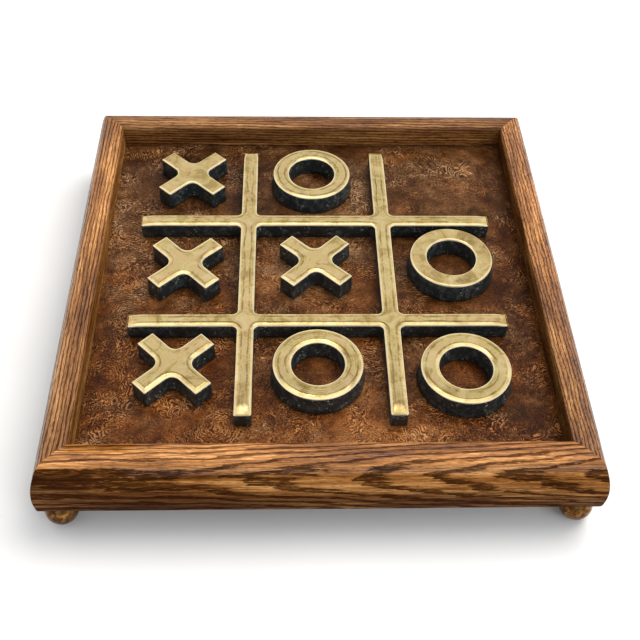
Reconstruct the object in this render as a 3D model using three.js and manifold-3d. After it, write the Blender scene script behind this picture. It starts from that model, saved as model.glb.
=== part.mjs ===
// Tic tac toe set: a square oak tray on brass ball feet. A cast brass grid is screwed
// to its burl veneered panel, and cast brass X and O pieces stand loose in the cells.
// Millimetres, +Z up. The feet stand on z = 0 and the board is centred on x = y = 0.
// +Y points to the back rail.

import * as THREE from 'three';
import { mergeVertices } from 'three/addons/utils/BufferGeometryUtils.js';
import Module from 'manifold-3d';

const wasm = await Module();
wasm.setup();

// Tray frame, distances across it measured from the centre of the board
const FRAME_HALF = 152.4; // widest line of a rail's bowed outer face
const FRAME_INNER = 132.2; // inner wall of a rail
const RAIL_BOTTOM = 17;
const RAIL_TOP = 57.7;
const OUTER_BOW = 55; // radius of the outer face
const OUTER_WIDEST_Z = 31;
const CROWN_RADIUS = 20; // radius across the narrow top
const CROWN_MIDDLE = 139.2;
const CROWN_HALF_WIDTH = 5;
const SHOULDER_DROP = 3.7; // top of the rail down to where the outer face starts to turn in
const SHOULDER_LEAN = { x: 1, z: 0.6 }; // pull of the turn between outer face and crown
const LOWER_ROUND = 8; // width and height of the round under the outer face
const LOWER_LEAN = 0.4;
const INNER_ROUND = 2.4; // height of the round between crown and inner wall
const INNER_LEAN = 0.5;
const INNER_CHAMFER = 1; // under the inner wall
const MITRE_GAP = 0.15;

// Panel
const BURL_Z = 41; // playing surface
const VENEER = 1;
const CORE = 8;
const GROOVE_DEPTH = 5;
const PANEL_CLEARANCE = 0.2;

// Brass grid
const GRID_HALF = 111.6;
const BAR_OFFSET = 42.8; // centre of the board to the middle of a bar
const BAR_WIDTH = 9.8;
const GRID_HEIGHT = 11.4;
const GRID_CROWN = 1.1; // rise of the polished top above its edge
const GRID_EDGE = 4; // width over which the top falls to its edge
const GRID_FILLET = 3.3;

// Loose pieces
const PIECE_HEIGHT = 12.7;
const PIECE_LIFT = 0.1; // hairline between a piece and the veneer
const EDGE_ROUND = 1.8; // softened edge of a polished top
const EDGE_DROP = 1;
const X_REACH = 25.4; // centre to the end of an arm
const X_ARM = 11.3;
const X_FILLET = 5.6;
const O_TOP_OUTER = 25.6;
const O_BASE_OUTER = 27;
const O_TOP_HOLE = 15.2;
const O_BASE_HOLE = 14.4;
const O_BASE_CHAMFER = 0.8;

// Where the loose pieces stand, and how far each X is turned, in degrees
const X_SPOTS = [
  { x: -81.2, y: 87.6, turn: 0.5 },
  { x: -80.8, y: 3.6, turn: -1.5 },
  { x: -0.9, y: 5.4, turn: 0.9 },
  { x: -82.1, y: -76.0, turn: -0.8 },
];
const O_SPOTS = [
  { x: -1.8, y: 87.4 },
  { x: 83.7, y: 7.6 },
  { x: -1.1, y: -77.0 },
  { x: 82.4, y: -80.0 },
];

// Ball feet and their studs, at the four corners under the mitres
const FOOT_CENTRE = 141.8;
const BALL_RADIUS = 9.5;
const BALL_FLAT = 2.5; // radius of the flat that meets the table
const STUD_RADIUS = 2;
const STUD_BOTTOM = 10;
const STUD_TOP = 34;
const STUD_CLEARANCE = 0.3;

// Screws that hold the grid from below, one under each crossing
const SCREW_RADIUS = 1.9;
const SCREW_HEAD_RADIUS = 4;
const SCREW_HEAD_HEIGHT = 2.4;
const SCREW_HEAD_CHAMFER = 1;
const SCREW_BITE = 7; // length of thread in the brass
const SCREW_CLEARANCE = 0.3;

// Fineness of round shapes
const ARC_STEPS = 3;
const ROUND_STEPS = 3;
const RING_SIDES = 32;
const BALL_SIDES = 20;
const HOLE_SIDES = 12;

const CUT_MARGIN = 5; // how far a cutting tool reaches past what it cuts
const QUARTER = Math.PI / 2;
const CORNERS = [[-1, -1], [1, -1], [1, 1], [-1, 1]];
const CORNER_NAMES = ['front_left', 'front_right', 'back_right', 'back_left'];

const OAK = { color: 0x8f5a34, roughness: 0.42, metalness: 0 };
const BURL = { color: 0x5a3722, roughness: 0.3, metalness: 0 };
const PLYWOOD = { color: 0xa98558, roughness: 0.8, metalness: 0 };
const CAST_BRASS = { color: 0xc8b478, roughness: 0.28, metalness: 1 };
const BALL_BRASS = { color: 0xc49a4e, roughness: 0.2, metalness: 1 };
const STEEL = { color: 0x8f9193, roughness: 0.4, metalness: 1 };

const group = new THREE.Group();

function addMesh(name, geometry, finish, parent = group) {
  const mesh = new THREE.Mesh(geometry, new THREE.MeshStandardMaterial(finish));
  mesh.name = name;
  parent.add(mesh);
  return mesh;
}

// A closed geometry as a solid that can be cut. Triangles that collapse to a line are dropped.
function toSolid(geometry) {
  const bare = geometry.clone();
  bare.deleteAttribute('normal');
  bare.deleteAttribute('uv');
  const merged = mergeVertices(bare);
  const corners = [...merged.index.array];
  const kept = [];
  for (let i = 0; i < corners.length; i += 3) {
    const [a, b, c] = corners.slice(i, i + 3);
    if (a !== b && b !== c && c !== a) kept.push(a, b, c);
  }
  return new wasm.Manifold(new wasm.Mesh({
    numProp: 3,
    vertProperties: merged.attributes.position.array,
    triVerts: new Uint32Array(kept),
  }));
}

function toGeometry(solid) {
  const mesh = solid.getMesh();
  const geometry = new THREE.BufferGeometry();
  geometry.setAttribute('position', new THREE.BufferAttribute(mesh.vertProperties, 3));
  geometry.setIndex(new THREE.BufferAttribute(mesh.triVerts, 1));
  geometry.computeVertexNormals();
  return geometry;
}

// An upright cylinder between two heights
function post(radius, bottom, top, x = 0, y = 0) {
  const geometry = new THREE.CylinderGeometry(radius, radius, top - bottom, HOLE_SIDES);
  geometry.rotateX(QUARTER);
  geometry.translate(x, y, (bottom + top) / 2);
  return geometry;
}

function slab(halfWidth, bottom, top) {
  const geometry = new THREE.BoxGeometry(2 * halfWidth, 2 * halfWidth, top - bottom);
  geometry.translate(0, 0, (bottom + top) / 2);
  return geometry;
}

// Adds one quarter of an outline that repeats every 90 degrees. Steps are corners [x, y],
// or inside fillets [x, y, start angle, end angle] about their centre.
function addQuarter(outline, steps, radius, quarter) {
  const centre = new THREE.Vector2();
  for (const [x, y, start, end] of steps) {
    const point = new THREE.Vector2(x, y).rotateAround(centre, quarter * QUARTER);
    if (start === undefined) {
      outline.lineTo(point.x, point.y);
    } else {
      const turn = quarter * QUARTER;
      outline.absarc(point.x, point.y, radius, start + turn, end + turn, true);
    }
  }
}

function quarteredOutline(steps, radius) {
  const outline = new THREE.Shape();
  outline.moveTo(steps[0][0], steps[0][1]);
  for (let quarter = 0; quarter < 4; quarter += 1) addQuarter(outline, steps, radius, quarter);
  return outline;
}

// A flat casting whose polished top rises from a rounded edge. The matching round
// below z = 0 is cut away.
function crownedCasting(outline, height, edge, rise) {
  const raw = new THREE.ExtrudeGeometry(outline, {
    depth: height - rise,
    curveSegments: ARC_STEPS,
    bevelSegments: ROUND_STEPS,
    bevelSize: edge,
    bevelOffset: -edge,
    bevelThickness: rise,
  });
  return toSolid(raw).intersect(toSolid(slab(FRAME_HALF, 0, height + CUT_MARGIN)));
}

// Section of a rail: x is the distance from the centre of the board, y the height
function railSection() {
  const grooveTop = BURL_Z + PANEL_CLEARANCE;
  const grooveBottom = BURL_Z - VENEER - CORE - PANEL_CLEARANCE;
  const bowCentre = FRAME_HALF - OUTER_BOW;
  const crownCentreZ = RAIL_TOP - CROWN_RADIUS;
  const crownAngle = Math.asin(CROWN_HALF_WIDTH / CROWN_RADIUS);
  const shoulderZ = RAIL_TOP - SHOULDER_DROP;
  const lowerRoundZ = RAIL_BOTTOM + LOWER_ROUND;
  const shoulderAngle = Math.asin((shoulderZ - OUTER_WIDEST_Z) / OUTER_BOW);
  const lowerAngle = Math.asin((lowerRoundZ - OUTER_WIDEST_Z) / OUTER_BOW);
  const shoulderX = bowCentre + OUTER_BOW * Math.cos(shoulderAngle);
  const crownEdgeZ = crownCentreZ + CROWN_RADIUS * Math.cos(crownAngle);

  const section = new THREE.Shape();
  section.moveTo(FRAME_INNER + INNER_CHAMFER, RAIL_BOTTOM);
  section.lineTo(FRAME_HALF - LOWER_ROUND, RAIL_BOTTOM);
  section.quadraticCurveTo(
    FRAME_HALF - LOWER_LEAN, RAIL_BOTTOM,
    bowCentre + OUTER_BOW * Math.cos(lowerAngle), lowerRoundZ,
  );
  section.absarc(bowCentre, OUTER_WIDEST_Z, OUTER_BOW, lowerAngle, shoulderAngle, false);
  section.quadraticCurveTo(
    shoulderX - SHOULDER_LEAN.x, crownEdgeZ - SHOULDER_LEAN.z,
    CROWN_MIDDLE + CROWN_HALF_WIDTH, crownEdgeZ,
  );
  section.absarc(
    CROWN_MIDDLE, crownCentreZ, CROWN_RADIUS, QUARTER - crownAngle, QUARTER + crownAngle, false,
  );
  section.quadraticCurveTo(
    FRAME_INNER, crownEdgeZ - INNER_LEAN,
    FRAME_INNER, crownEdgeZ - INNER_ROUND,
  );
  section.lineTo(FRAME_INNER, grooveTop);
  section.lineTo(FRAME_INNER + GROOVE_DEPTH, grooveTop);
  section.lineTo(FRAME_INNER + GROOVE_DEPTH, grooveBottom);
  section.lineTo(FRAME_INNER, grooveBottom);
  section.lineTo(FRAME_INNER, RAIL_BOTTOM + INNER_CHAMFER);
  return section;
}

// Plan of the right rail: the wedge between the two mitre lines
function mitrePlan() {
  const reach = FRAME_HALF + CUT_MARGIN;
  const plan = new THREE.Shape();
  plan.moveTo(MITRE_GAP, 0);
  plan.lineTo(reach, MITRE_GAP - reach);
  plan.lineTo(reach, reach - MITRE_GAP);
  return plan;
}

// The right rail. The others are the same rail turned by quarter turns.
function railGeometry() {
  const length = 2 * (FRAME_HALF + CUT_MARGIN);
  const bar = new THREE.ExtrudeGeometry(railSection(), {
    depth: length,
    curveSegments: ARC_STEPS,
    bevelEnabled: false,
  });
  bar.rotateX(QUARTER);
  bar.translate(0, length / 2, 0);
  const wedge = new THREE.ExtrudeGeometry(mitrePlan(), {
    depth: RAIL_TOP + CUT_MARGIN,
    bevelEnabled: false,
  });
  let rail = toSolid(bar).intersect(toSolid(wedge));
  for (const side of [-1, 1]) {
    const hole = post(
      STUD_RADIUS + STUD_CLEARANCE, RAIL_BOTTOM - CUT_MARGIN, STUD_TOP + STUD_CLEARANCE,
      FOOT_CENTRE, side * FOOT_CENTRE,
    );
    rail = rail.subtract(toSolid(hole));
  }
  return toGeometry(rail);
}

function addRails() {
  const names = ['right_rail', 'back_rail', 'left_rail', 'front_rail'];
  names.forEach((name, quarter) => {
    addMesh(name, railGeometry(), OAK).rotation.z = quarter * QUARTER;
  });
}

// A square sheet in the rails' groove, drilled for the four grid screws
function drilledSheet(bottom, top) {
  const halfWidth = FRAME_INNER + GROOVE_DEPTH - PANEL_CLEARANCE;
  let sheet = toSolid(slab(halfWidth, bottom, top));
  for (const [x, y] of CORNERS) {
    const hole = post(
      SCREW_RADIUS + SCREW_CLEARANCE, bottom - CUT_MARGIN, top + CUT_MARGIN,
      x * BAR_OFFSET, y * BAR_OFFSET,
    );
    sheet = sheet.subtract(toSolid(hole));
  }
  return toGeometry(sheet);
}

function addPanel() {
  addMesh('burl_veneer', drilledSheet(BURL_Z - VENEER, BURL_Z), BURL);
  addMesh('panel_core', drilledSheet(BURL_Z - VENEER - CORE, BURL_Z - VENEER), PLYWOOD);
}

// Two bars each way, filleted where they cross. The middle cell is a hole.
function gridOutline() {
  const near = BAR_OFFSET - BAR_WIDTH / 2;
  const far = BAR_OFFSET + BAR_WIDTH / 2;
  const r = GRID_FILLET;
  const outline = quarteredOutline([
    [GRID_HALF, -far],
    [GRID_HALF, -near],
    [far + r, -near + r, -QUARTER, -2 * QUARTER],
    [far + r, near - r, 2 * QUARTER, QUARTER],
    [GRID_HALF, near],
    [GRID_HALF, far],
    [far + r, far + r, -QUARTER, -2 * QUARTER],
  ], r);
  const middle = new THREE.Path();
  CORNERS.forEach(([x, y], corner) => {
    const start = (corner + 2) * QUARTER;
    middle.absarc(x * (near - r), y * (near - r), r, start, start + QUARTER, false);
  });
  outline.holes.push(middle);
  return outline;
}

function addGrid() {
  let grid = crownedCasting(gridOutline(), GRID_HEIGHT, GRID_EDGE, GRID_CROWN);
  for (const [x, y] of CORNERS) {
    const hole = post(
      SCREW_RADIUS + SCREW_CLEARANCE, -CUT_MARGIN, SCREW_BITE + SCREW_CLEARANCE,
      x * BAR_OFFSET, y * BAR_OFFSET,
    );
    grid = grid.subtract(toSolid(hole));
  }
  addMesh('brass_grid', toGeometry(grid), CAST_BRASS).position.z = BURL_Z;
}

// Pan head screw standing on its head, turned about z
function screwGeometry() {
  const headTop = SCREW_HEAD_HEIGHT;
  const profile = [
    [0, 0],
    [SCREW_HEAD_RADIUS - SCREW_HEAD_CHAMFER, 0],
    [SCREW_HEAD_RADIUS, SCREW_HEAD_CHAMFER],
    [SCREW_HEAD_RADIUS, headTop],
    [SCREW_RADIUS, headTop],
    [SCREW_RADIUS, headTop + CORE + VENEER + SCREW_BITE],
    [0, headTop + CORE + VENEER + SCREW_BITE],
  ];
  return turned(profile, HOLE_SIDES);
}

function turned(profile, sides) {
  const points = profile.map(([r, z]) => new THREE.Vector2(r, z));
  const geometry = new THREE.LatheGeometry(points, sides);
  geometry.rotateX(QUARTER);
  return geometry;
}

function addGridScrews() {
  CORNERS.forEach(([x, y], corner) => {
    const screw = addMesh(`grid_screw_${CORNER_NAMES[corner]}`, screwGeometry(), STEEL);
    const z = BURL_Z - VENEER - CORE - SCREW_HEAD_HEIGHT;
    screw.position.set(x * BAR_OFFSET, y * BAR_OFFSET, z);
  });
}

// Ball with a small flat to stand on, a flat seat under the rail and a blind stud hole
function ballGeometry() {
  const centreZ = Math.sqrt(BALL_RADIUS ** 2 - BALL_FLAT ** 2);
  const start = -Math.acos(BALL_FLAT / BALL_RADIUS);
  const end = Math.asin((RAIL_BOTTOM - centreZ) / BALL_RADIUS);
  const holeRadius = STUD_RADIUS + STUD_CLEARANCE;
  const arcSteps = 3 * ROUND_STEPS;
  const profile = [[0, 0]];
  for (let i = 0; i <= arcSteps; i += 1) {
    const angle = start + ((end - start) * i) / arcSteps;
    profile.push([BALL_RADIUS * Math.cos(angle), centreZ + BALL_RADIUS * Math.sin(angle)]);
  }
  profile.push([holeRadius, RAIL_BOTTOM]);
  profile.push([holeRadius, STUD_BOTTOM - STUD_CLEARANCE]);
  profile.push([0, STUD_BOTTOM - STUD_CLEARANCE]);
  return turned(profile, BALL_SIDES);
}

function addFeet() {
  CORNERS.forEach(([x, y], corner) => {
    const name = CORNER_NAMES[corner];
    const ball = addMesh(`ball_foot_${name}`, ballGeometry(), BALL_BRASS);
    const stud = addMesh(`foot_stud_${name}`, post(STUD_RADIUS, STUD_BOTTOM, STUD_TOP), STEEL);
    ball.position.set(x * FOOT_CENTRE, y * FOOT_CENTRE, 0);
    stud.position.set(x * FOOT_CENTRE, y * FOOT_CENTRE, 0);
  });
}

// Two crossed arms with generous fillets between them
function xGeometry() {
  const half = X_ARM / 2;
  const outline = quarteredOutline([
    [X_REACH, -half],
    [X_REACH, half],
    [half + X_FILLET, half + X_FILLET, -QUARTER, -2 * QUARTER],
  ], X_FILLET);
  return toGeometry(crownedCasting(outline, PIECE_HEIGHT, EDGE_ROUND, EDGE_DROP));
}

// Ring with drafted sides and softened edges
function oGeometry() {
  const profile = [[O_BASE_HOLE, 0], [O_BASE_OUTER - O_BASE_CHAMFER, 0], [O_BASE_OUTER, O_BASE_CHAMFER]];
  for (let i = 0; i <= ROUND_STEPS; i += 1) {
    const angle = (QUARTER * i) / ROUND_STEPS;
    profile.push([
      O_TOP_OUTER - EDGE_ROUND * (1 - Math.cos(angle)),
      PIECE_HEIGHT - EDGE_DROP * (1 - Math.sin(angle)),
    ]);
  }
  for (let i = ROUND_STEPS; i >= 0; i -= 1) {
    const angle = (QUARTER * i) / ROUND_STEPS;
    profile.push([
      O_TOP_HOLE + EDGE_ROUND * (1 - Math.cos(angle)),
      PIECE_HEIGHT - EDGE_DROP * (1 - Math.sin(angle)),
    ]);
  }
  profile.push([O_BASE_HOLE, 0]);
  return turned(profile, RING_SIDES);
}

function addLoosePieces() {
  X_SPOTS.forEach((spot, i) => {
    const piece = addMesh(`x_piece_${i + 1}`, xGeometry(), CAST_BRASS);
    piece.position.set(spot.x, spot.y, BURL_Z + PIECE_LIFT);
    piece.rotation.z = QUARTER / 2 + THREE.MathUtils.degToRad(spot.turn);
  });
  O_SPOTS.forEach((spot, i) => {
    const piece = addMesh(`o_piece_${i + 1}`, oGeometry(), CAST_BRASS);
    piece.position.set(spot.x, spot.y, BURL_Z + PIECE_LIFT);
  });
}

addRails();
addPanel();
addGrid();
addGridScrews();
addFeet();
addLoosePieces();

export default group;
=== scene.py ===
"""The looks of the tic tac toe set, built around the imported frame.

A square oak tray on brass ball feet holds a burl veneered field, a cast brass grid with painted
sides, and loose cast brass X and O pieces. Shapes are worked out in millimetres and stored in metres.
"""

import math
import random

import bmesh
import bpy
import numpy as np
from mathutils import Matrix, Vector, noise


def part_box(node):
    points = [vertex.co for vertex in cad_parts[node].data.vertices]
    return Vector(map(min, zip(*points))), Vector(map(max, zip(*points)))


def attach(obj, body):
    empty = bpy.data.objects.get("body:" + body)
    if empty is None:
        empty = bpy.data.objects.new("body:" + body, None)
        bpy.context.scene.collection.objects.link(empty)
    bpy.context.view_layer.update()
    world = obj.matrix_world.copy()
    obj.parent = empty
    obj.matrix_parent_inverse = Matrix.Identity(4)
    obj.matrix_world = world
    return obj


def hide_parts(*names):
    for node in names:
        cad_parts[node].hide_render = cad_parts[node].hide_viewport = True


MM = 0.001
TAU = 2 * math.pi

# Rail section, as distances from the centre of the board and heights
OUTER_BOW = 55.0
OUTER_WIDEST = 14.0  # height of the widest line above the rail's bottom
CROWN_RADIUS = 20.0
CROWN_MIDDLE = 139.2
CROWN_HALF_WIDTH = 5.0
CROWN_TO_INSIDE = 2.4  # drop from the crown to the inner face, round the inner edge
CROWN_TO_BOW = 3.7  # drop from the top to where the bow begins
BOTTOM_ROUND = 8.0
BOTTOM_BEVEL = 0.8  # on the inner lower edge
GROOVE_DEPTH = 5.0
GROOVE_SLACK = 0.2
MITRE_GAP = 0.005
END_EASE = 0.18  # how far in the edge of a cut end is eased
END_EASE_LENGTH = 0.22
RAIL_SWELL = 0.07  # how far a face strays from true
RAIL_STEP = 2.0

# Burl veneer
VENEER_STEP = 2.0

# Brass grid
BAR_OFFSET = 42.8
BAR_WIDTH = 9.8
BAR_TIP = 1.3  # radius of the corners at a bar's end
GRID_FILLET = 3.3
GRID_STEP = 1.6

# Loose pieces
X_REACH = 25.4
X_ARM = 11.3
X_FILLET = 5.6
X_TIP = 0.7
X_LEAN = 0.5  # how much farther out the base is than the top
X_STEP = 1.2
X_TURNS = (0.5, -1.5, 0.9, -0.8)  # degrees
O_OUTER = 25.6
O_HOLE = 15.2
O_LEAN = 1.4
O_SIDES = 160
HOLE_DRAFT = 0.55  # the ring's inner wall leans this much of the outer wall's lean

# Feet
BALL_RADIUS = 9.5
BALL_FLAT = 2.5
BALL_ROWS = 28
BALL_SIDES = 56

# Camera, in metres and degrees
CAMERA_AT = (-0.0183, -0.4255, 0.4840)
CAMERA_TURN = 2.86
CAMERA_DOWN = 48.47
CAMERA_ROLL = 2.02
LENS = 55.4

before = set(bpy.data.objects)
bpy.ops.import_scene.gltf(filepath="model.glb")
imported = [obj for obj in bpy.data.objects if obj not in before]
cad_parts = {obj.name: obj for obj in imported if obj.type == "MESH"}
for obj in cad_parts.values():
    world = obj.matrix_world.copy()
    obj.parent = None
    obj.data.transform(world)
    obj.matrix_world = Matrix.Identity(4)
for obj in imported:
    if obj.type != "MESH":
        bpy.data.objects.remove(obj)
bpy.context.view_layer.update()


# ---------------------------------------------------------------- measures from the frame

def box_mm(node):
    """Lowest and highest corner of a CAD node, in millimetres."""
    low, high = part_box(node)
    return Vector(low) / MM, Vector(high) / MM


def base_mm(node):
    """Middle of the underside of a CAD node's box, in millimetres."""
    low, high = box_mm(node)
    centre = (low + high) / 2
    centre.z = low.z
    return centre


# ---------------------------------------------------------------- mesh helpers

def new_object(name, data):
    """An object in the scene that holds a mesh, light or camera."""
    thing = bpy.data.objects.new(name, data)
    bpy.context.scene.collection.objects.link(thing)
    return thing


def make_object(name, points, faces, materials, sharp_degrees=35):
    """A mesh object from millimetre points, shaded smooth between creases."""
    mesh = bpy.data.meshes.new(name)
    mesh.from_pydata([Vector(p) * MM for p in points], [], faces)
    mesh.validate()
    for material in materials:
        mesh.materials.append(material)
    tidy_mesh(mesh)
    mesh.shade_smooth()
    mesh.set_sharp_from_angle(angle=math.radians(sharp_degrees))
    return new_object(name, mesh)


def tidy_mesh(mesh):
    """Points all faces outwards."""
    bm = bmesh.new()
    bm.from_mesh(mesh)
    bmesh.ops.recalc_face_normals(bm, faces=bm.faces)
    bm.to_mesh(mesh)
    bm.free()


def add_values(piece, name, values, kind="FLOAT"):
    """Stores one number or vector for each vertex, for the material to read."""
    attribute = piece.data.attributes.new(name, kind, "POINT")
    key = "value" if kind == "FLOAT" else "vector"
    attribute.data.foreach_set(key, np.asarray(values, dtype=np.float32).ravel())


def place(piece, body, slot, *nodes):
    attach(piece, body)
    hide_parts(*nodes)
    return piece


def rough(point, size, seed):
    """Smooth noise from -1 to 1 at a point, with features of a size in millimetres."""
    p = Vector(point) / size
    return noise.noise(p + Vector((seed * 7.3, seed * 3.1, seed * 5.7)))


def share(value, start, end):
    """How far a value has gone from start to end, held from 0 to 1."""
    return min(1.0, max(0.0, (value - start) / (end - start)))


# ---------------------------------------------------------------- outlines with round corners

class Outline:
    """A loop of axis-aligned corners with a radius each, that can be offset outwards.

    An outer loop runs anticlockwise and a hole clockwise. Every offset gives the same number of
    points, so that loops at several offsets can be joined into a surface.
    """

    ARC_STEPS = 10

    def __init__(self, corners, spacing):
        self.corners = [(Vector((x, y)), r) for x, y, r in corners]
        self.spacing = spacing
        self.normals = []
        count = len(corners)
        for i in range(count):
            run = self.corners[(i + 1) % count][0] - self.corners[i][0]
            self.normals.append(Vector((run.y, -run.x)).normalized())

    def corner_points(self, i, offset):
        vertex, radius = self.corners[i]
        before = self.normals[i - 1]
        after = self.normals[i]
        convex = before.x * after.y - before.y * after.x > 0
        vertex = vertex + offset * (before + after)
        radius = max(radius + offset if convex else radius - offset, 0.02)
        side = 1 if convex else -1
        centre = vertex - side * radius * (before + after)
        points = []
        for step in range(self.ARC_STEPS + 1):
            t = math.pi / 2 * step / self.ARC_STEPS
            points.append(centre + side * radius * (math.cos(t) * before + math.sin(t) * after))
        return points

    def loop(self, offset):
        points = []
        count = len(self.corners)
        for i in range(count):
            arc = self.corner_points(i, offset)
            points += arc
            start = self.corners[i][0]
            end = self.corners[(i + 1) % count][0]
            gap = (end - start).length - self.corners[i][1] - self.corners[(i + 1) % count][1]
            steps = max(1, round(gap / self.spacing))
            following = self.corner_points((i + 1) % count, offset)[0]
            for step in range(1, steps):
                points.append(arc[-1].lerp(following, step / steps))
        return points


class Ring:
    """Two circles, an outline and a hole, with the same way of being offset."""

    def __init__(self, outer, hole, steps):
        self.outer = outer
        self.hole = hole
        self.steps = steps

    def loops(self, offset):
        inner_offset = offset * HOLE_DRAFT if offset > 0 else offset
        outer = [self.point(self.outer + offset, i) for i in range(self.steps)]
        hole = [self.point(self.hole - inner_offset, -i) for i in range(self.steps)]
        return [outer, hole]

    def point(self, radius, i):
        angle = TAU * i / self.steps
        return Vector((radius * math.cos(angle), radius * math.sin(angle)))


def quartered(steps):
    """Repeats a quarter of an outline's corners four times around the centre."""
    corners = []
    for quarter in range(4):
        for x, y, radius in steps:
            for _ in range(quarter):
                x, y = -y, x
            corners.append((x, y, radius))
    return corners


# ---------------------------------------------------------------- materials

class Nodes:
    """Short ways to add shader nodes to one material or world."""

    def __init__(self, tree):
        self.tree = tree
        tree.nodes.clear()

    def add(self, kind, inputs=(), **settings):
        node = self.tree.nodes.new(kind)
        for key, value in settings.items():
            setattr(node, key, value)
        for key, value in dict(inputs).items():
            self.set(node.inputs[key], value)
        return node

    def set(self, socket, value):
        if isinstance(value, bpy.types.NodeSocket):
            self.tree.links.new(value, socket)
        elif isinstance(value, tuple) and socket.type == "RGBA" and len(value) == 3:
            socket.default_value = (*value, 1)
        else:
            socket.default_value = value

    def math(self, operation, a, b=0.0):
        return self.add("ShaderNodeMath", {0: a, 1: b}, operation=operation).outputs[0]

    def total(self, *terms):
        """Sum of values, each given with its weight."""
        products = [self.math("MULTIPLY", value, weight) for value, weight in terms]
        level = products[0]
        for product in products[1:]:
            level = self.math("ADD", level, product)
        return level

    def vector(self, operation, a, b=(0, 0, 0)):
        node = self.add("ShaderNodeVectorMath", {0: a, 1: b}, operation=operation)
        return node.outputs[0]

    def join(self, x, y, z):
        return self.add("ShaderNodeCombineXYZ", {0: x, 1: y, 2: z}).outputs[0]

    def split(self, vector):
        return self.add("ShaderNodeSeparateXYZ", {0: vector}).outputs

    def attribute(self, name, output="Fac"):
        return self.add("ShaderNodeAttribute", attribute_name=name).outputs[output]

    def object_mm(self):
        coordinates = self.add("ShaderNodeTexCoord").outputs["Object"]
        return self.vector("MULTIPLY", coordinates, (1000, 1000, 1000))

    def noise(self, vector, scale=1.0, detail=2.0, roughness=0.5, distortion=0.0, output="Fac"):
        node = self.add("ShaderNodeTexNoise", {
            "Vector": vector, "Scale": scale, "Detail": detail,
            "Roughness": roughness, "Distortion": distortion,
        })
        return node.outputs[output]

    def stretched(self, vector, scales, *settings):
        """Noise with a scale of its own along each axis."""
        return self.noise(self.vector("MULTIPLY", vector, scales), 1.0, *settings)

    def shifted(self, vector, move, *settings):
        """Noise read at another place, to be unlike other noise of its scale."""
        return self.noise(self.vector("ADD", vector, move), *settings)

    def ramp(self, value, *stops):
        """Colours or plain numbers along a value, as (position, colour or number) stops."""
        node = self.add("ShaderNodeValToRGB", {0: value})
        band = node.color_ramp
        while len(band.elements) < len(stops):
            band.elements.new(0.5)
        for element, (position, colour) in zip(band.elements, stops):
            element.position = position
            if not isinstance(colour, tuple):
                colour = (colour, colour, colour)
            element.color = (*colour, 1)
        return node.outputs[0]

    def span(self, value, low, high, out_low=0.0, out_high=1.0):
        """Maps low..high to out_low..out_high, held at the ends."""
        node = self.add("ShaderNodeMapRange", {
            "Value": value, "From Min": low, "From Max": high, "To Min": out_low, "To Max": out_high,
        })
        return node.outputs[0]

    def mix(self, amount, a, b, blend="MIX"):
        node = self.add("ShaderNodeMix", data_type="RGBA", blend_type=blend)
        self.set(node.inputs[0], amount)
        self.set(node.inputs[6], a)
        self.set(node.inputs[7], b)
        return node.outputs[2]

    def bump(self, height, distance_mm, strength=1.0):
        inputs = {"Height": height, "Distance": distance_mm * MM, "Strength": strength}
        return self.add("ShaderNodeBump", inputs).outputs[0]

    def surface(self, **inputs):
        """Principled shader, with underscores in its socket names read as spaces."""
        named = {key.replace("_", " "): value for key, value in inputs.items()}
        shader = self.add("ShaderNodeBsdfPrincipled", named)
        output = self.add("ShaderNodeOutputMaterial")
        self.tree.links.new(shader.outputs[0], output.inputs[0])


def new_material(name):
    material = bpy.data.materials.new(name)
    material.use_nodes = True
    return material, Nodes(material.node_tree)


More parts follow.
